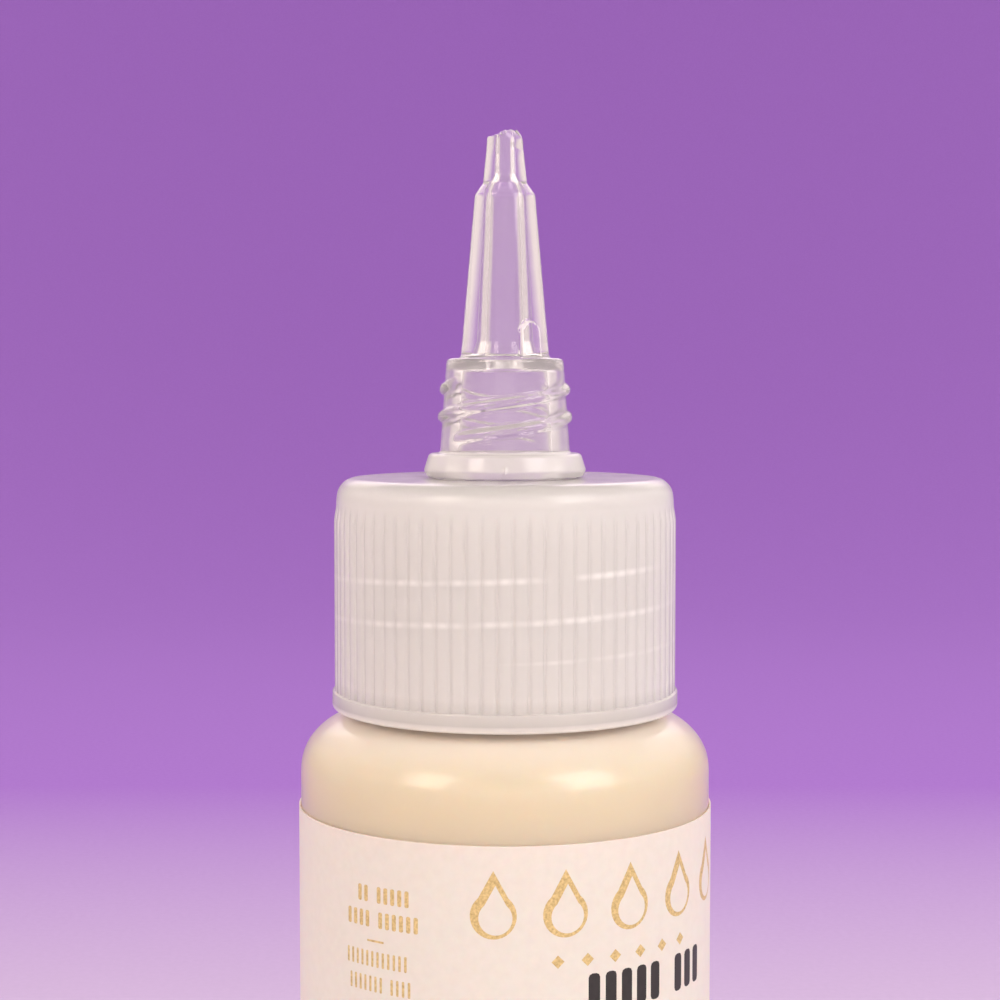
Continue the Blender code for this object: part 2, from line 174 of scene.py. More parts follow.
def rounded(corners, steps=5, closed=False):
    """Outline through corners of (radius, height, fillet, rows): fillet rounds the corner and rows
    divides the run after it. Both may be left out."""
    count = len(corners)
    arcs = []
    for i, corner in enumerate(corners):
        spot = corner[:2]
        is_end = not closed and i in (0, count - 1)
        if len(corner) > 2 and corner[2] and not is_end:
            after = corners[(i + 1) % count][:2]
            arcs.append(fillet(corners[i - 1][:2], spot, after, corner[2], steps))
        else:
            arcs.append([np.array(spot, float)])
    points = []
    for i, corner in enumerate(corners):
        points += arcs[i]
        rows = corner[3] if len(corner) > 3 else 1
        start, end = arcs[i][-1], arcs[(i + 1) % count][0]
        points += [start + (end - start) * k / rows for k in range(1, rows)]
    return np.array(points)


def shoulder(depth, end_radius, steps):
    """The bottle's round shoulder at a depth below its surface, from the side in to end_radius."""
    power = 2.0 / SHOULDER_SQUARENESS
    reach = BODY_RADIUS - depth - SHOULDER_CREST_RADIUS
    rise = SHOULDER_DROP - depth
    last = math.acos(((end_radius - SHOULDER_CREST_RADIUS) / reach) ** (1.0 / power))
    angles = last * np.arange(steps + 1) / steps
    radii = SHOULDER_CREST_RADIUS + reach * np.cos(angles) ** power
    return np.stack([radii, CLOSURE_BOTTOM - SHOULDER_DROP + rise * np.sin(angles) ** power], 1)


def helix(angle, height, span, front_height, lead, widths, run_out):
    """How far a helical ridge stands at each point: 0 beside it, 1 on its crest."""
    found = np.zeros(np.broadcast(angle, height).shape)
    for turn in range(math.floor(span[0] / 360.0), math.ceil(span[1] / 360.0) + 1):
        along = angle + 360.0 * turn
        offset = np.abs(height - front_height - lead * along / 360.0)
        flank = smooth((widths[0] / 2 - offset) / ((widths[0] - widths[1]) / 2))
        ends = smooth(np.minimum(along - span[0], span[1] - along) / run_out)
        found = np.maximum(found, flank * ends)
    return found


def even_angles(count):
    """Angles of evenly spaced columns."""
    return 360.0 * np.arange(count) / count


def lathe(outline, angles, shape=None, closed=False):
    """Vertices and faces of an outline turned round the axis through a list of angles.
    shape(angle, radius, height) moves its points, so that ribs, threads and cuts are part of one
    unbroken surface. An end of an open outline that is on the axis becomes one point."""
    rows, columns = len(outline), len(angles)
    angle = np.broadcast_to(angles, (rows, columns))
    radius = np.repeat(outline[:, :1], columns, 1)
    height = np.repeat(outline[:, 1:], columns, 1)
    if shape:
        radius, height = shape(angle, radius, height)
    turn = np.radians(angle)
    points = np.stack([radius * np.sin(turn), -radius * np.cos(turn), height], 2)
    first = 0 if closed or outline[0][0] > 0 else 1
    last = rows if closed or outline[-1][0] > 0 else rows - 1
    vertices = points[first:last].reshape(-1, 3)
    index = np.arange((last - first) * columns).reshape(-1, columns)
    if closed:
        index = np.vstack([index, index[:1]])
    after = np.roll(index, -1, 1)
    faces = np.stack([index[:-1], after[:-1], after[1:], index[1:]], 2).reshape(-1, 4).tolist()
    if first:
        faces += [[len(vertices), b, a] for a, b in zip(index[0].tolist(), after[0].tolist())]
        vertices = np.vstack([vertices, points[0, :1]])
    if last < rows:
        faces += [[len(vertices), a, b] for a, b in zip(index[-1].tolist(), after[-1].tolist())]
        vertices = np.vstack([vertices, points[-1, :1]])
    return vertices, faces


def mesh_object(name, vertices, faces, sharp=40.0):
    """An object made from millimetre vertices, smooth but for edges sharper than an angle."""
    data = bpy.data.meshes.new(name)
    data.from_pydata((np.asarray(vertices) * MM).tolist(), [], faces)
    data.update()
    data.shade_smooth()
    data.set_sharp_from_angle(angle=math.radians(sharp))
    made = bpy.data.objects.new(name, data)
    bpy.context.scene.collection.objects.link(made)
    return made


def stands_for(made, node, body, *materials):
    """Makes a piece take a CAD node's place: its body and its materials."""
    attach(made, body)
    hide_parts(node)
    for material in materials:
        made.data.materials.append(material)


def bottle():
    """The bottle's wall: outside from the base up, over the neck, and down the inside."""
    neck_foot = CLOSURE_BOTTOM + 0.35
    outside = rounded(
        [
            (0.0, PUSH_UP_HEIGHT),
            (PUSH_UP_RADIUS, PUSH_UP_EDGE, 1.5),
            (STAND_RING_RADIUS, BOTTLE_FOOT, 0.8),
            (BODY_RADIUS, BOTTLE_FOOT, BASE_CORNER),
            (BODY_RADIUS, CLOSURE_BOTTOM - SHOULDER_DROP),
        ],
        steps=8,
    )[:-1]
    neck = rounded(
        [
            (NECK_RADIUS + 0.45, CLOSURE_BOTTOM - 0.1),
            (NECK_RADIUS, neck_foot, 0.3),
            (NECK_RADIUS, neck_foot + 1.4, 0.0, 84),
            (NECK_RADIUS, NECK_TOP, 0.4),
            (NECK_BORE_RADIUS, NECK_TOP, 0.25),
            (NECK_BORE_RADIUS, CLOSURE_BOTTOM + 0.4),
        ]
    )
    inside_radius = BODY_RADIUS - BODY_WALL
    inside = rounded(
        [
            (inside_radius, 40.0),
            (inside_radius, BASE_THICKNESS, BASE_CORNER - BODY_WALL),
            (STAND_RING_RADIUS, BASE_THICKNESS, 0.6),
            (PUSH_UP_RADIUS, BASE_THICKNESS + PUSH_UP_EDGE, 1.2),
            (0.0, BASE_THICKNESS + PUSH_UP_HEIGHT),
        ]
    )
    outline = np.vstack(
        [
            outside,
            shoulder(0.0, NECK_RADIUS + 0.8, 28),
            neck,
            shoulder(BODY_WALL, NECK_BORE_RADIUS + 0.1, 18)[::-1],
            inside,
        ]
    )

    def threaded(angle, radius, height):
        on_neck = (radius > NECK_RADIUS - 0.01) & (height > neck_foot + 1.0)
        ridge = helix(
            angle,
            height,
            NECK_THREAD_SPAN,
            NECK_THREAD_FRONT,
            NECK_LEAD,
            NECK_THREAD_WIDTHS,
            THREAD_RUN_OUT,
        )
        return radius + np.where(on_neck, NECK_THREAD_RIDGE * ridge, 0.0), height

    made = mesh_object("bottle_wall", *lathe(outline, even_angles(BOTTLE_COLUMNS), threaded))
    stands_for(made, "bottle", "bottle_body", bottle_plastic())


def glue():
    """The glue fills the bottle to just under its neck and bites into the wall, so no air shows."""
    depth = BODY_WALL - GLUE_BITE
    side = BODY_RADIUS - depth
    floor = BASE_THICKNESS - GLUE_BITE
    lower = rounded(
        [
            (0.0, floor + PUSH_UP_HEIGHT),
            (PUSH_UP_RADIUS, floor + PUSH_UP_EDGE, 1.2),
            (STAND_RING_RADIUS, floor, 0.6),
            (side, floor, BASE_CORNER - BODY_WALL),
            (side, 40.0),
        ]
    )
    upper = shoulder(depth, SHOULDER_CREST_RADIUS + 1.6, 22)
    top = rounded([(upper[-1][0] - 0.2, GLUE_TOP, 0.2), (0.0, GLUE_TOP - 0.15)])
    outline = np.vstack([lower, upper[upper[:, 1] < GLUE_TOP - 0.05], top])
    made = mesh_object("glue_fill", *lathe(outline, even_angles(GLUE_COLUMNS)))
    stands_for(made, "glue", "bottle_body", cream_glue())


def closure():
    """The closure's shell, with ribs on its skirt and a thread in its bore."""
    bead_top = CLOSURE_BOTTOM + BEAD_HEIGHT
    outline = rounded(
        [
            (CLOSURE_BORE + 0.4, CLOSURE_BOTTOM, 0.1),
            (BEAD_RADIUS, CLOSURE_BOTTOM, 0.42),
            (BEAD_RADIUS - 0.03, bead_top, 0.14),
            (CLOSURE_RADIUS, bead_top + 0.05, 0.0, 3),
            (CLOSURE_RADIUS, RIB_TOP - RIB_RUN_OUT - 0.2, 0.0, 9),
            (CLOSURE_RADIUS - 0.03, RIB_TOP + 0.2),
            (CLOSURE_RADIUS - 0.22, CLOSURE_TOP, 1.5, 3),
            (SPOUT_HOLE_RADIUS, CLOSURE_TOP, 0.12),
            (SPOUT_HOLE_RADIUS, CLOSURE_TOP - CLOSURE_ROOF, 0.08),
            (CLOSURE_BORE - 0.05, CLOSURE_TOP - CLOSURE_ROOF, 0.7),
            (CLOSURE_BORE, CLOSURE_BOTTOM + 13.2, 0.0, 66),
            (CLOSURE_BORE, CLOSURE_BOTTOM + 1.2),
        ],
        steps=7,
        closed=True,
    )

    pitch = 360.0 / RIB_COUNT

    def ribbed(angle, radius, height):
        across = (angle / pitch + 0.5) % 1.0 - 0.5
        rib = np.interp(across, *zip(*RIB_SECTION))
        fade = smooth((RIB_TOP - height) / RIB_RUN_OUT)
        outer = (radius > CLOSURE_BORE + 0.6) & (radius < CLOSURE_RADIUS + 0.01)
        on_skirt = outer & (height > bead_top + 0.01) & (height < RIB_TOP + 0.3)
        in_bore = (radius < CLOSURE_BORE + 0.01) & (radius > CLOSURE_BORE - 0.1)
        in_bore &= height < CLOSURE_BOTTOM + 14.0
        ridge = helix(
            angle,
            height,
            CLOSURE_THREAD_SPAN,
            CLOSURE_THREAD_FRONT,
            NECK_LEAD,
            CLOSURE_THREAD_WIDTHS,
            THREAD_RUN_OUT,
        )
        radius = radius + np.where(on_skirt, RIB_DEPTH * rib * fade, 0.0)
        return radius - np.where(in_bore, CLOSURE_THREAD_RIDGE * ridge, 0.0), height

    starts = pitch * np.arange(RIB_COUNT)
    angles = (starts[:, None] + pitch * np.array([share for share, depth in RIB_SECTION])).ravel()
    mesh = lathe(outline, angles, ribbed, closed=True)
    made = mesh_object("closure_shell", *mesh)
    stands_for(made, "closure", "closure_body", milky_plastic())


def snipped(angle, radius, height):
    """The tip's cut: low on the left, ragged in the middle, and worn round on the right."""
    turn = np.radians(angle)
    across = radius * np.sin(turn)
    toward = -radius * np.cos(turn)
    slope = 0.32 * smooth((0.05 - across) / 0.6) + 0.16 * smooth((-0.5 - across) / 0.9)
    ragged = 0.04 * np.sin(6.5 * across + 2.0 * toward) + 0.025 * np.sin(15.0 * across + 1.0)
    cut = TIP_TOP - 0.06 - slope + ragged + 0.05 * toward
    share = np.clip((height - TIP_FOOT) / (TIP_TOP - TIP_FOOT), 0.0, 1.0)
    cut_height = TIP_FOOT + share * (cut - TIP_FOOT)
    worn = 1.46 - 0.5 * share**4
    on_right = smooth((np.sin(turn) + 0.15) / 0.7)
    is_outside = (radius > 1.0) & (share > 0)
    worn_radius = radius - on_right * np.maximum(radius - worn, 0.0)
    return np.where(is_outside, worn_radius, radius), np.where(share > 0, cut_height, height)


def lug_inset(angle, radius, height):
    """How far inside the outline of the cone's arch-shaped lug a point is."""
    aside = np.radians((angle - LUG_ANGLE + 180.0) % 360.0 - 180.0) * radius
    above = np.maximum(height - (LUG_TOP - LUG_HALF_WIDTH), 0.0)
    return LUG_HALF_WIDTH - np.hypot(aside, above)


def nozzle_outline():
    """Outline of the nozzle from its plug up the outside to the tip, and back down its bore."""
    up = CLOSURE_BOTTOM
    return rounded(
        [
            (8.05, PLUG_BOTTOM, 0.2),
            (8.92, PLUG_BOTTOM, 0.4),
            (8.95, CLOSURE_TOP - 2.2, 0.15),
            (FLANGE_RADIUS, CLOSURE_TOP - 2.2, 0.2),
            (FLANGE_RADIUS, CLOSURE_TOP - 1.2, 0.2),
            (5.75, CLOSURE_TOP - 1.2, 0.15),
            (5.75, CLOSURE_TOP + 0.1, 0.1),
            (6.25, CLOSURE_TOP + 0.1, 0.18),
            (6.52, CLOSURE_TOP + 0.62, 0.35, 6),
            (6.1, SPIGOT_FOOT, 0.36),
            (5.22, SPIGOT_FOOT, 0.3, 60),
            (4.68, ANNULUS_TOP, 0.36),
            (3.56, ANNULUS_TOP, 0.3, 96),
            (2.42, up + 41.05, 0.5),
            (1.76, up + 41.95, 0.7),
            (1.66, up + 43.0, 0.0, 3),
            (1.5, TIP_FOOT, 0.0, 12),
            (1.42, TIP_TOP, 0.1, 4),
            (0.5, TIP_TOP, 0.08, 8),
            (0.56, up + 42.6, 0.4),
            (1.12, up + 41.0, 0.5),
            (1.5, up + 29.3, 0.3),
            (1.72, up + 28.3, 0.25),
            (3.45, up + 27.1, 0.45),
            (3.95, CLOSURE_TOP - 1.0, 0.4),
            (8.05, CLOSURE_TOP - 2.3, 0.4),
        ],
        closed=True,
    )


def nozzle_details(angle, radius, height):
    """Moves the nozzle's points into the spigot's thread, the cone's lug, the moulding mark on the
    collar and the snipped tip."""
    on_spigot = (height > SPIGOT_FOOT + 0.3) & (height < ANNULUS_TOP - 0.45) & (radius > 4.2)
    ridge = np.zeros(radius.shape)
    for start in range(SPIGOT_STARTS):
        turn = 360.0 * start / SPIGOT_STARTS
        span = (SPIGOT_THREAD_SPAN[0] + turn, SPIGOT_THREAD_SPAN[1] + turn)
        front = SPIGOT_THREAD_FRONT - SPIGOT_LEAD * turn / 360.0
        found = helix(angle, height, span, front, SPIGOT_LEAD, SPIGOT_THREAD_WIDTHS, SPIGOT_RUN_OUT)
        ridge = np.maximum(ridge, found)
    radius = radius + np.where(on_spigot, SPIGOT_THREAD_RIDGE * ridge, 0.0)
    on_cone = (height > ANNULUS_TOP + 0.05) & (radius > 2.9) & (radius < 4.0)
    lug = smooth(lug_inset(angle, radius, height) / 0.14)
    radius = radius + np.where(on_cone, LUG_HEIGHT * lug, 0.0)
    from_front = np.radians((angle + 180.0) % 360.0 - 180.0) * radius
    mark = smooth(1.6 - np.abs(from_front) / 0.1) * smooth(1.5 - np.abs(height - GATE_HEIGHT) / 0.3)
    on_collar = (radius > 5.9) & (height > CLOSURE_TOP) & (height < SPIGOT_FOOT)
    radius = radius + np.where(on_collar, 0.12 * mark, 0.0)
    return snipped(angle, radius, height)


def nozzle_part(middle):
    """Which of the nozzle's materials a face has, from its middle in millimetres."""
    radius = math.hypot(middle.x, middle.y)
    wall_middle = np.interp(
        middle.z, [SPIGOT_FOOT, ANNULUS_TOP - 0.1, ANNULUS_TOP + 0.9, TIP_TOP], [4.7, 4.2, 2.6, 0.95]
    )
    inset = lug_inset(math.degrees(math.atan2(middle.x, -middle.y)), radius, middle.z)
    on_lug_edge = middle.z > ANNULUS_TOP + 0.1 and radius > wall_middle and 0.0 < inset < 0.2
    if middle.z < SPIGOT_FOOT + 0.2 or on_lug_edge:
        return CLOUDY
    return BORE if radius < wall_middle else CLEAR


def nozzle():
    """The nozzle from its plug to the snipped tip, with a clearer bore and a cloudier collar."""
    mesh = lathe(nozzle_outline(), even_angles(NOZZLE_COLUMNS), nozzle_details, closed=True)
    made = mesh_object("nozzle_spout", *mesh)
    stands_for(
        made,
        "nozzle",
        "nozzle_body",
        nozzle_plastic("clear_plastic", (0.77, 0.91), (0.05, 0.08), 0.3),
        nozzle_plastic("clear_bore", (0.97, 0.99), (0.05, 0.08), 1.0),
        nozzle_plastic("cloudy_plastic", (0.52, 0.44), (0.12, 0.18), 0.3),
    )
    for face in made.data.polygons:
        face.material_index = nozzle_part(face.center / MM)


def sealing_washer():
    """The soft ring between the nozzle's flange and the neck's land."""
    outline = rounded(
        [
            (9.05, WASHER_BOTTOM, 0.12),
            (WASHER_RADIUS, WASHER_BOTTOM, 0.12, 2),
            (WASHER_RADIUS, WASHER_TOP, 0.12),
            (9.05, WASHER_TOP, 0.12),
        ],
        steps=3,
        closed=True,
    )
    made = mesh_object("washer_ring", *lathe(outline, even_angles(WASHER_COLUMNS), closed=True))
    stands_for(made, "sealing_washer", "nozzle_body", washer_foam())


# ---------------------------------------------------------------------------------------------
# Label: one film whose printed shapes are faces of their own
# ---------------------------------------------------------------------------------------------

LABEL_THICKNESS = 0.12
# How many degrees one face of the film spans, and the angles where its seam opens and closes
LABEL_STEP = 2.5
LABEL_SEAM = (210.0, 217.5)
PAPER, GOLD, BLACK = range(3)


def bar(x, y, width, height, corner=0.15, steps=4):
    """Outline of a bar with round corners, from its lower left corner."""
    corner = min(corner, width / 2, height / 2)
    outline = []
    for cx, cy, start in (
        (x + width - corner, y + corner, -90),
        (x + width - corner, y + height - corner, 0),
        (x + corner, y + height - corner, 90),
        (x + corner, y + corner, 180),
    ):
        for step in range(steps + 1):
            a = math.radians(start + 90.0 * step / steps)
            outline.append((cx + corner * math.cos(a), cy + corner * math.sin(a)))
    return outline


def ticks(x, y, width, height, pitch, groups):
    """Rows of small upright bars in groups, which stand for a line of print."""
    made = []
    for group in groups:
        for i in range(group):
            made.append(bar(x, y, width, height, width / 3, 2))
            x += pitch
        x += pitch
    return made


def drop(x, y, height):
    """Outline of a drop of glue standing on (x, y)."""
    radius = height * 0.34
    outline = []
    for step in range(25):
        a = math.radians(-230.0 + 280.0 * step / 24)
        outline.append((x + radius * math.cos(a), y + radius + radius * math.sin(a)))
    outline.append((x, y + height))
    return outline


def diamond(x, y, size):
    """Outline of a square on its point round (x, y)."""
    return [(x - size, y), (x, y - size), (x + size, y), (x, y + size)]


def bead_line(x, y, length, width, waves, swing):
    """A wavy line, like a bead of glue just laid down."""
    upper, lower = [], []
    for step in range(24 * waves + 1):
        share = step / (24 * waves)
        middle = y + swing * math.sin(math.tau * waves * share)
        half = width / 2 * min(1.0, 8.0 * share + 0.2, 8.0 * (1.0 - share) + 0.2)
        upper.append((x + length * share, middle + half))
        lower.append((x + length * share, middle - half))
    return lower + upper[::-1]


def label_print():
    """The printed shapes as (ink, outline), in millimetres along the film and up. A later shape
    covers an earlier one."""
    top = LABEL_TOP
    shapes = []
    for ink, x, below, width, height, pitch, groups in (
        (GOLD, -12.1, 5.0, 0.36, 1.25, 0.62, (2, 5)),
        (GOLD, -13.2, 6.9, 0.36, 1.25, 0.62, (4, 6)),
        (GOLD, -13.3, 9.9, 0.22, 1.2, 0.50, (12,)),
        (GOLD, -13.0, 11.8, 0.22, 1.2, 0.50, (7, 4)),
        (BLACK, 6.3, 12.7, 0.95, 2.9, 1.42, (5, 3)),
        (BLACK, 6.3, 17.2, 0.95, 2.9, 1.42, (4, 4)),
        (BLACK, -11.0, 33.6, 0.22, 0.9, 0.48, (7, 5, 9, 3, 6)),
        (BLACK, -11.0, 35.5, 0.22, 0.9, 0.48, (4, 8, 6, 7, 5)),
        (BLACK, -11.0, 37.4, 0.22, 0.9, 0.48, (9, 3, 5, 10)),
    ):
        shapes += [(ink, outline) for outline in ticks(x, top - below, width, height, pitch, groups)]
    shapes.append((GOLD, bar(-11.2, top - 8.0, 1.6, 0.16, 0.05, 2)))
    for i in range(5):
        x = -0.9 + 5.4 * i
        shapes.append((GOLD, drop(x, top - 6.9, 5.1)))
        shapes.append((PAPER, drop(x + 0.16, top - 6.6, 3.7)))
    shapes += [(GOLD, diamond(3.9 + 2.33 * i, top - 8.7, 0.5)) for i in range(6)]
    shapes.append((GOLD, bar(-11.0, top - 24.0, 30.0, 0.2, 0.08, 2)))
    shapes.append((GOLD, bead_line(-11.0, top - 28.2, 30.0, 0.9, 3, 1.4)))
    shapes.append((GOLD, bar(-11.0, top - 41.0, 30.0, 0.2, 0.08, 2)))
    for side in (-40.4, 27.0):
        shapes.append((GOLD, bar(side, top - 5.0, 14.0, 0.2, 0.08, 2)))
        for row in range(12):
            groups = ((5, 8, 3, 7), (8, 4, 9, 2), (3, 6, 6, 8), (7, 2, 5, 9))[row % 4]
            lines = ticks(side, top - 8.0 - 2.0 * row, 0.2, 0.85, 0.5, groups)
            shapes += [(BLACK, outline) for outline in lines]
        shapes.append((GOLD, bar(side, top - 34.0, 14.0, 0.2, 0.08, 2)))
        for i in range(3):
            shapes.append((GOLD, drop(side + 2.4 + 4.6 * i, top - 40.5, 4.4)))
            shapes.append((PAPER, drop(side + 2.5 + 4.6 * i, top - 40.25, 3.2)))
    return shapes


def wrapped(point, radius):
    """The 3D place of a point of the flat label, in millimetres."""
    turn = point[0] / LABEL_RADIUS
    return (radius * math.sin(turn), -radius * math.cos(turn), point[1])


def label():
    """The film round the bottle: printed flat, cut into faces and wrapped."""
    outer, inner = LABEL_RADIUS, LABEL_RADIUS - LABEL_THICKNESS
    per_degree = math.radians(1.0) * LABEL_RADIUS
    left = (LABEL_SEAM[1] - 360.0) * per_degree
    right = LABEL_SEAM[0] * per_degree
    points, edges, areas, inks = [], [], [], []

    def add_area(outline, ink):
        first = len(points)
        points.extend(Vector(p) for p in outline)
        areas.append(list(range(first, len(points))))
        inks.append(ink)

    film = [(left, LABEL_BOTTOM), (right, LABEL_BOTTOM), (right, LABEL_TOP), (left, LABEL_TOP)]
    add_area(film, PAPER)
    for ink, outline in label_print():
        add_area(outline, ink)
    steps = round((right - left) / per_degree / LABEL_STEP)
    for i in range(1, steps):
        x = left + (right - left) * i / steps
        edges.append((len(points), len(points) + 1))
        points.extend([Vector((x, LABEL_BOTTOM)), Vector((x, LABEL_TOP))])
    found = delaunay_2d_cdt(points, edges, areas, 1, 1e-5)
    flat, faces, sources = found[0], found[2], found[5]
    count = len(flat)
    vertices = [wrapped(p, outer) for p in flat] + [wrapped(p, inner) for p in flat]
    used = {}
    all_faces, ink_of = [], []
    for face, source in zip(faces, sources):
        all_faces.append(list(face))
        ink_of.append(inks[max(source)])
        all_faces.append([i + count for i in reversed(face)])
        ink_of.append(PAPER)
        for a, b in zip(face, list(face[1:]) + [face[0]]):
            used[(a, b)] = used.get((a, b), 0) + 1
    for a, b in used:
        if (b, a) not in used:
            all_faces.append([b, a, a + count, b + count])
            ink_of.append(PAPER)
    made = mesh_object("label_film", vertices, all_faces)
    stands_for(made, "label", "bottle_body", label_paper(), gold_ink(), black_ink())
    made.data.polygons.foreach_set("material_index", ink_of)


# ---------------------------------------------------------------------------------------------
# Materials
# ---------------------------------------------------------------------------------------------


def new_material(name, **values):
    """A Principled material with the given socket values, and its node tree and shader."""
    material = bpy.data.materials.new(name)
    material.use_nodes = True
    shader = material.node_tree.nodes["Principled BSDF"]
    for socket, value in values.items():
        shader.inputs[socket.replace("_", " ")].default_value = value
    return material, material.node_tree, shader


def noise(tree, scale, detail=3.0, stretch=(1.0, 1.0, 1.0)):
    """Noise in the piece's own space. scale counts its features per metre."""
    coordinates = tree.nodes.new("ShaderNodeTexCoord")
    mapping = tree.nodes.new("ShaderNodeMapping")
    mapping.inputs["Scale"].default_value = stretch
    texture = tree.nodes.new("ShaderNodeTexNoise")
    texture.inputs["Scale"].default_value = scale
    texture.inputs["Detail"].default_value = detail
    tree.links.new(coordinates.outputs["Object"], mapping.inputs["Vector"])
    tree.links.new(mapping.outputs["Vector"], texture.inputs["Vector"])
    return texture.outputs["Fac"]


def place(tree, axis):
    """A point's X, Y or Z in the piece's own space, in metres."""
    coordinates = tree.nodes.new("ShaderNodeTexCoord")
    parts = tree.nodes.new("ShaderNodeSeparateXYZ")
    tree.links.new(coordinates.outputs["Object"], parts.inputs["Vector"])
    return parts.outputs[axis]


def mapped(tree, value, low, high, start=0.3, end=0.7):
    """value's range from start to end, stretched to low and high."""
    node = tree.nodes.new("ShaderNodeMapRange")
    for socket, number in (("From Min", start), ("From Max", end), ("To Min", low), ("To Max", high)):
        node.inputs[socket].default_value = number
    tree.links.new(value, node.inputs["Value"])
    return node.outputs["Result"]


def by_height(tree, low, high, start, end):
    """A value that goes from low to high between two heights in millimetres."""
    return mapped(tree, place(tree, "Z"), low, high, start * MM, end * MM)


def math_node(tree, operation, *values):
    """The result of a Math node whose inputs are numbers or other nodes' outputs."""
    node = tree.nodes.new("ShaderNodeMath")
    node.operation = operation
    for socket, value in zip(node.inputs, values):
        if isinstance(value, (int, float)):
            socket.default_value = value
        else:
            tree.links.new(value, socket)
    return node.outputs["Value"]


def tinted(tree, value, dark, light):
    """A colour between two, chosen by value."""
    node = tree.nodes.new("ShaderNodeMix")
    node.data_type = "RGBA"
    node.inputs["A"].default_value = (*dark, 1.0)
    node.inputs["B"].default_value = (*light, 1.0)
    tree.links.new(value, node.inputs["Factor"])
    return node.outputs["Result"]


def bump(tree, shader, heights, distance, strength=1.0):
    """Bump on the shader from a height value. distance is its depth in metres."""
    node = tree.nodes.new("ShaderNodeBump")
    node.inputs["Distance"].default_value = distance
    node.inputs["Strength"].default_value = strength
    tree.links.new(heights, node.inputs["Height"])
    tree.links.new(node.outputs["Normal"], shader.inputs["Normal"])


def bottle_plastic():
    """Natural squeeze plastic: waxy and see-through, and cloudier and so whiter at the top of the
    shoulder, partly its own look and partly painted light that lifts the shade under the closure.
    """
    material, tree, shader = new_material(
        "bottle_plastic", IOR=1.5, Coat_Weight=0.4, Coat_Roughness=0.12
    )
    haze = noise(tree, 260.0)
    tree.links.new(
        tinted(tree, mapped(tree, haze, 0.0, 1.0), (0.985, 0.915, 0.835), (0.99, 0.93, 0.855)),
        shader.inputs["Base Color"],
    )
    # Partly painted light: less transmission at the top of the shoulder whitens the shade under the
    # closure
    cloudier_painted_light = by_height(tree, 0.68, 0.30, CLOSURE_BOTTOM - 3.0, CLOSURE_BOTTOM)
    in_neck = by_height(tree, 0.0, 0.3, CLOSURE_BOTTOM + 0.2, CLOSURE_BOTTOM + 1.2)
    clearness = math_node(tree, "ADD", cloudier_painted_light, in_neck)
    tree.links.new(clearness, shader.inputs["Transmission Weight"])
    tree.links.new(mapped(tree, haze, 0.28, 0.33), shader.inputs["Roughness"])
    bump(tree, shader, noise(tree, 900.0, 2.0), 0.00001)
    return material


def painted_thread_glint(tree):
    """Painted glint: 1 on the skirt along a helix in front of the thread inside it, and 0 beside it;
    less transmission there paints a bright line that stands in for light caught by the thread seen
    through the plastic. Noise, the grooves between the ribs and the skirt's sides weaken the line."""
    towards_front = math_node(tree, "MULTIPLY", place(tree, "Y"), -1.0)
    turn = math_node(tree, "ARCTAN2", place(tree, "X"), towards_front)
    climbed = math_node(tree, "MULTIPLY", turn, NECK_LEAD * MM / math.tau)
    above = math_node(tree, "SUBTRACT", place(tree, "Z"), climbed)
    above = math_node(tree, "SUBTRACT", above, (NECK_THREAD_FRONT - 0.3) * MM)
    from_thread = math_node(tree, "PINGPONG", above, NECK_LEAD * MM / 2)
    line = mapped(tree, from_thread, 1.0, 0.0, 0.05 * MM, 0.32 * MM)
    patches = mapped(tree, noise(tree, 150.0, 3.0), 0.0, 1.0, 0.43, 0.64)
    above_middle = math_node(tree, "SUBTRACT", place(tree, "Z"), (CLOSURE_BOTTOM + 8.95) * MM)
    from_middle = math_node(tree, "ABSOLUTE", above_middle)
    threaded = mapped(tree, from_middle, 1.0, 0.0, 3.45 * MM, 3.85 * MM)
    half_pitch = math.pi / RIB_COUNT
    from_rib = math_node(tree, "PINGPONG", turn, half_pitch)
    on_rib = mapped(tree, from_rib, 1.0, 0.6, 0.2 * half_pitch, 0.8 * half_pitch)
    depth = math_node(tree, "ABSOLUTE", place(tree, "Y"))
    radius = CLOSURE_RADIUS * MM
    front_or_back = mapped(tree, depth, 0.2, 1.0, 0.55 * radius, 0.9 * radius)
    for factor in (patches, threaded, on_rib, front_or_back):
        line = math_node(tree, "MULTIPLY", line, factor)
    return line


def milky_plastic():
    """The closure's milky plastic: clearer in its roof and its bead, with a painted highlight along its
    rim and painted glints where the thread is behind it, both made by lowering its transmission there."""
    material, tree, shader = new_material(
        "milky_plastic", IOR=1.49, Subsurface_Weight=1.0, Subsurface_Scale=0.003
    )
    shader.inputs["Subsurface Radius"].default_value = (1.0, 1.0, 1.0)
    haze = noise(tree, 220.0)
    tree.links.new(
        tinted(tree, mapped(tree, haze, 0.0, 1.0), (0.985, 0.955, 0.95), (0.993, 0.973, 0.966)),
        shader.inputs["Base Color"],
    )
    tree.links.new(mapped(tree, haze, 0.18, 0.25), shader.inputs["Roughness"])
    clearness = by_height(tree, 0.42, 0.64, RIB_TOP, CLOSURE_TOP)
    in_bead = by_height(tree, 0.22, 0.0, CLOSURE_BOTTOM, CLOSURE_BOTTOM + 2.5)
    # Painted highlight: the closure is made less clear along its bottom edge, so its rim shows a bright
    # line
    painted_rim_highlight = by_height(tree, 0.4, 0.0, CLOSURE_BOTTOM + 0.2, CLOSURE_BOTTOM + 0.6)
    clearness = math_node(tree, "ADD", clearness, in_bead)
    clearness = math_node(tree, "SUBTRACT", clearness, painted_rim_highlight)
    # Painted glint: the skirt is made less clear along the thread behind it, so it shows a bright line
    line = math_node(tree, "MULTIPLY", painted_thread_glint(tree), 0.3)
    tree.links.new(math_node(tree, "SUBTRACT", clearness, line), shader.inputs["Transmission Weight"])
    bump(tree, shader, noise(tree, 1100.0, 2.0), 0.00001)
    return material


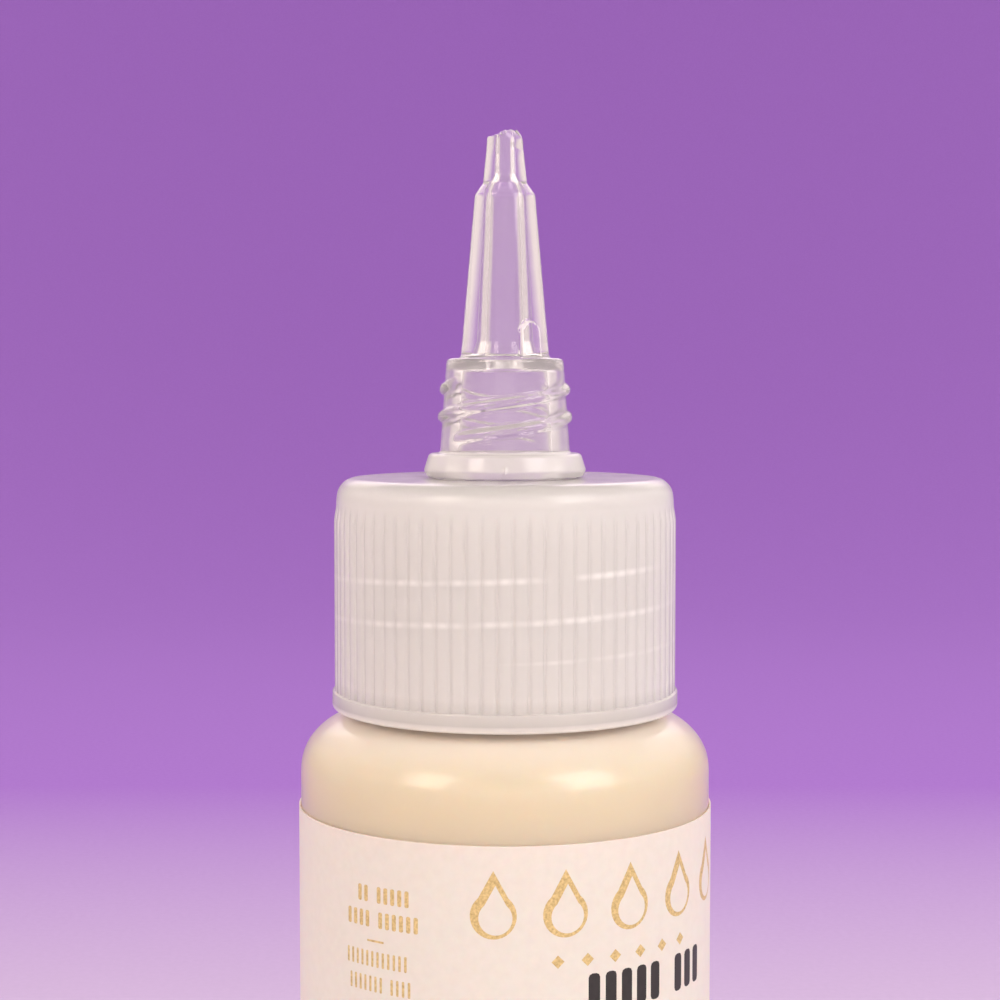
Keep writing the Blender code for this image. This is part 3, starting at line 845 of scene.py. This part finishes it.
def nozzle_plastic(name, clearness, roughness, sheen):
    """The nozzle's plastic. clearness gives its transmission below the cone and up the cone."""
    material, tree, shader = new_material(name, IOR=1.5, Sheen_Weight=sheen, Sheen_Roughness=0.4)
    clearing = by_height(tree, *clearness, SPIGOT_FOOT, ANNULUS_TOP + 3.0)
    tree.links.new(clearing, shader.inputs["Transmission Weight"])
    haze = noise(tree, 380.0)
    tree.links.new(
        tinted(tree, mapped(tree, haze, 0.0, 1.0), (0.97, 0.95, 0.96), (0.99, 0.98, 0.985)),
        shader.inputs["Base Color"],
    )
    tree.links.new(mapped(tree, haze, *roughness), shader.inputs["Roughness"])
    bump(tree, shader, noise(tree, 700.0, 2.0, (1.0, 1.0, 0.3)), 0.00001)
    return material


def cream_glue():
    """Cream-coloured wet glue, cloudy under its surface, deep orange by the label and paler up to the
    closure: the paler top is painted light that stands in for light brightening the shoulder from
    within.
    """
    material, tree, shader = new_material(
        "cream_glue", IOR=1.4, Subsurface_Weight=1.0, Subsurface_Scale=0.004, Roughness=0.3
    )
    shader.inputs["Subsurface Radius"].default_value = (1.0, 0.8, 0.55)
    # Painted light: the glue's colour pales towards the top of the shoulder, where the closure shades
    # it
    painted_light_rise = by_height(tree, 0.0, 0.7, LABEL_TOP, CLOSURE_BOTTOM)
    cloud = mapped(tree, noise(tree, 120.0), 0.0, 0.3)
    tree.links.new(
        tinted(tree, math_node(tree, "ADD", painted_light_rise, cloud), (0.98, 0.78, 0.38), (1.0, 0.91, 0.75)),
        shader.inputs["Base Color"],
    )
    bump(tree, shader, noise(tree, 300.0), 0.00002)
    return material


def washer_foam():
    """White foam with fine closed cells."""
    material, tree, shader = new_material("washer_foam", Subsurface_Weight=0.4, Subsurface_Scale=0.001)
    cells = noise(tree, 2500.0, 4.0)
    tree.links.new(
        tinted(tree, mapped(tree, cells, 0.0, 1.0), (0.78, 0.77, 0.75), (0.90, 0.90, 0.88)),
        shader.inputs["Base Color"],
    )
    tree.links.new(mapped(tree, cells, 0.7, 0.85), shader.inputs["Roughness"])
    bump(tree, shader, cells, 0.00005)
    return material


def label_paper():
    """Satin label film with the faint tooth of coated paper."""
    material, tree, shader = new_material("label_paper", Subsurface_Weight=0.3, Subsurface_Scale=0.0006)
    tooth = noise(tree, 1400.0, 5.0)
    tree.links.new(
        tinted(tree, mapped(tree, tooth, 0.0, 1.0), (0.73, 0.65, 0.605), (0.76, 0.68, 0.635)),
        shader.inputs["Base Color"],
    )
    tree.links.new(mapped(tree, tooth, 0.42, 0.52), shader.inputs["Roughness"])
    bump(tree, shader, tooth, 0.000006)
    return material


def gold_ink():
    """Metallic gold ink, grainy where the flakes lie at different angles."""
    material, tree, shader = new_material("gold_ink", Metallic=0.3)
    flakes = noise(tree, 5200.0, 3.0)
    tree.links.new(
        tinted(tree, mapped(tree, flakes, 0.0, 1.0), (0.48, 0.34, 0.14), (0.76, 0.58, 0.28)),
        shader.inputs["Base Color"],
    )
    tree.links.new(mapped(tree, flakes, 0.35, 0.55), shader.inputs["Roughness"])
    bump(tree, shader, flakes, 0.00001)
    return material


def backdrop_paper():
    """Matt studio paper: pale on the floor and sides, and lilac on the wall behind."""
    material, tree, shader = new_material("backdrop_paper", Roughness=0.9)
    grain = mapped(tree, noise(tree, 900.0), 0.0, 1.0)
    distance = math_node(tree, "ABSOLUTE", place(tree, "X"))
    in_middle = mapped(tree, distance, 1.0, 0.0, 0.44, 0.62)
    far_side = mapped(tree, place(tree, "Y"), 0.0, 1.0, -0.05, 0.3)
    behind = math_node(tree, "MULTIPLY", far_side, in_middle)
    pale = tinted(tree, grain, (0.76, 0.73, 0.75), (0.78, 0.75, 0.77))
    lilac = tinted(tree, grain, (0.34, 0.145, 0.60), (0.36, 0.16, 0.62))
    blend = tree.nodes.new("ShaderNodeMix")
    blend.data_type = "RGBA"
    tree.links.new(behind, blend.inputs["Factor"])
    tree.links.new(pale, blend.inputs["A"])
    tree.links.new(lilac, blend.inputs["B"])
    tree.links.new(blend.outputs["Result"], shader.inputs["Base Color"])
    return material


def black_ink():
    """Black ink, laid on a little unevenly."""
    material, tree, shader = new_material("black_ink")
    coat = noise(tree, 1800.0, 4.0)
    tree.links.new(
        tinted(tree, mapped(tree, coat, 0.0, 1.0), (0.010, 0.008, 0.009), (0.022, 0.017, 0.020)),
        shader.inputs["Base Color"],
    )
    tree.links.new(mapped(tree, coat, 0.35, 0.48), shader.inputs["Roughness"])
    return material


# ---------------------------------------------------------------------------------------------
# Studio
# ---------------------------------------------------------------------------------------------

WALL_DISTANCE = 1500.0
WALL_HEIGHT = 1500.0
SWEEP = 900.0
LIGHT_TINT = (1.0, 0.91, 0.82)
WARM_TINT = (1.0, 0.87, 0.75)
COOL_TINT = (1.0, 0.94, 0.88)
BACK_SPREAD = 70.0
TARGET = Vector((0.0, 0.0, CLOSURE_BOTTOM * MM))
# The camera's place in millimetres and how many degrees it looks down
CAMERA_PLACE = (-0.4, -160.9, CLOSURE_BOTTOM + 26.36)
CAMERA_TILT = 3.45


def backdrop():
    """A round pale floor that sweeps up into a wall on every side, far from the bottle."""
    sweep = [(WALL_DISTANCE, WALL_HEIGHT), (WALL_DISTANCE, 0.0, SWEEP, 6), (0.0, 0.0)]
    made = mesh_object("backdrop", *lathe(rounded(sweep, steps=32), even_angles(128)))
    made.data.materials.append(backdrop_paper())


def softbox(name, azimuth, elevation, distance, size, power, colour):
    """A soft rectangular light at an azimuth from the front and an elevation, aimed at the closure."""
    data = bpy.data.lights.new(name, "AREA")
    data.shape = "RECTANGLE"
    data.size, data.size_y = size
    data.energy = power
    data.color = colour
    made = bpy.data.objects.new(name, data)
    bpy.context.scene.collection.objects.link(made)
    a, e = math.radians(azimuth), math.radians(elevation)
    away = Vector((math.sin(a) * math.cos(e), -math.cos(a) * math.cos(e), math.sin(e)))
    made.location = TARGET + away * distance
    made.rotation_mode = "QUATERNION"
    made.rotation_quaternion = away.to_track_quat("Z", "Y")
    made.visible_camera = False
    return made


def lights():
    """Two softboxes in front, a wide fill, a panel on each side, a weak back light and the world.
    The clear pieces don't show the back light's own shape through them."""
    softbox("front_fill", 0.0, 5.0, 1.2, (1.8, 1.0), 3.8, LIGHT_TINT)
    softbox("right_softbox", 50.0, 34.0, 0.8, (0.42, 0.50), 3.3, COOL_TINT)
    softbox("left_softbox", -46.0, 34.0, 0.8, (0.30, 0.40), 2.2, WARM_TINT)
    softbox("right_panel", 112.0, 10.0, 1.2, (2.2, 1.6), 8.0, COOL_TINT)
    softbox("left_panel", -112.0, 10.0, 1.2, (2.2, 1.6), 8.0, WARM_TINT)
    back = softbox("back_fill", 180.0, 28.0, 1.2, (1.2, 0.6), 0.8, LIGHT_TINT)
    back.visible_transmission = False
    back.data.spread = math.radians(BACK_SPREAD)
    world = bpy.data.worlds.new("studio")
    world.use_nodes = True
    background = world.node_tree.nodes["Background"]
    background.inputs["Color"].default_value = (*LIGHT_TINT, 1.0)
    background.inputs["Strength"].default_value = 0.7
    bpy.context.scene.world = world


def camera():
    """A 72 mm lens a hand's length in front, level with the nozzle's spigot, tilted down a little."""
    data = bpy.data.cameras.new("camera")
    data.lens = 72.0
    data.sensor_width = 36.0
    data.clip_start = 0.01
    made = bpy.data.objects.new("camera", data)
    bpy.context.scene.collection.objects.link(made)
    made.location = Vector(CAMERA_PLACE) * MM
    made.rotation_euler = (math.radians(90.0 - CAMERA_TILT), 0.0, 0.0)
    bpy.context.scene.camera = made


for make in (bottle, glue, label, closure, nozzle, sealing_washer, backdrop, lights, camera):
    make()
bpy.context.scene.view_settings.view_transform = "Standard"
bpy.context.scene.cycles.max_bounces = 24
bpy.context.scene.cycles.transmission_bounces = 24
bpy.context.scene.cycles.diffuse_bounces = 8
bpy.context.scene.cycles.glossy_bounces = 8
